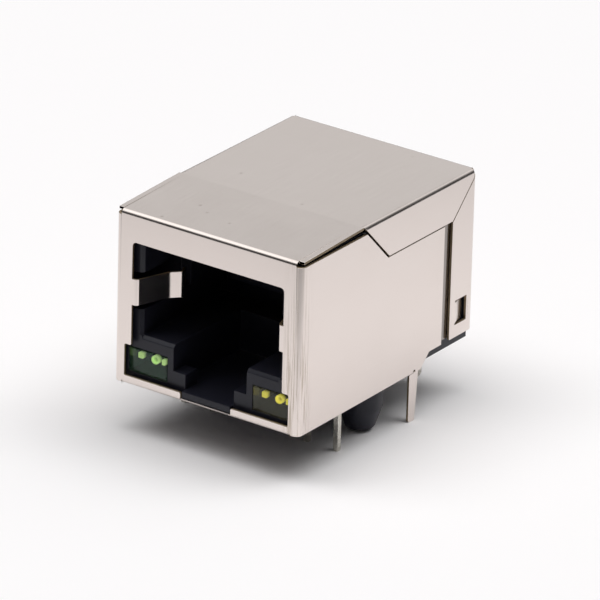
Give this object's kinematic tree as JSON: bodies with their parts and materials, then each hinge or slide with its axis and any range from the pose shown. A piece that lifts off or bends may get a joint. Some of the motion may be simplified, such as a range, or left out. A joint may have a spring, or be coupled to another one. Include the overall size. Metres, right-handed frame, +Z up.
{
  "type": "rj45 board jack",
  "caption": "Right-angle network jack for a circuit board: folded tinned shield, black housing, two indicator lamps, spring contacts and magnetics inside.",
  "frame": {"origin": "on the board surface, midway between the two locating pegs", "axes": "+Y from the mouth to the rear, the way a plug goes in; +Z up off the board; +X to the right seen from the mouth"},
  "size_m": [0.016, 0.0213, 0.0172],
  "materials": {
    "shield_sheet": "satin tinned sheet",
    "housing_plastic": "fine moulded grain",
    "insert_plastic": "moulded",
    "gold_contact": "gold plate",
    "board_green": "solder mask",
    "chip_black": "glazed chip",
    "chip_tan": "fired",
    "wound_copper": "enamelled wire on a ferrite ring",
    "tinned_pin": "matt tin",
    "lamp_green": "tinted clear resin",
    "lamp_yellow": "tinted clear resin",
    "lamp_lead": "matt tin"
  },
  "bodies": {
    "root": {"shield": "shield_sheet", "housing": "housing_plastic", "contact_block": "insert_plastic", "contact_1": "gold_contact", "contact_2": "gold_contact", "contact_3": "gold_contact", "contact_4": "gold_contact", "contact_5": "gold_contact", "contact_6": "gold_contact", "contact_7": "gold_contact", "contact_8": "gold_contact", "circuit_board": "board_green", "resistor_1": "chip_black", "resistor_2": "chip_black", "resistor_3": "chip_black", "resistor_4": "chip_black", "capacitor": "chip_tan", "coil_carrier": "insert_plastic", "ring_core_1": "wound_copper", "ring_core_2": "wound_copper", "ring_core_3": "wound_copper", "ring_core_4": "wound_copper", "ring_core_5": "wound_copper", "ring_core_6": "wound_copper", "ring_core_7": "wound_copper", "ring_core_8": "wound_copper", "signal_pin_1": "tinned_pin", "signal_pin_2": "tinned_pin", "signal_pin_3": "tinned_pin", "signal_pin_4": "tinned_pin", "signal_pin_5": "tinned_pin", "signal_pin_6": "tinned_pin", "signal_pin_7": "tinned_pin", "signal_pin_8": "tinned_pin", "lamp_left": "lamp_green", "lamp_right": "lamp_yellow", "lamp_left_post": "lamp_lead", "lamp_left_cup": "lamp_lead", "lamp_right_post": "lamp_lead", "lamp_right_cup": "lamp_lead"}
  },
  "joints": []
}
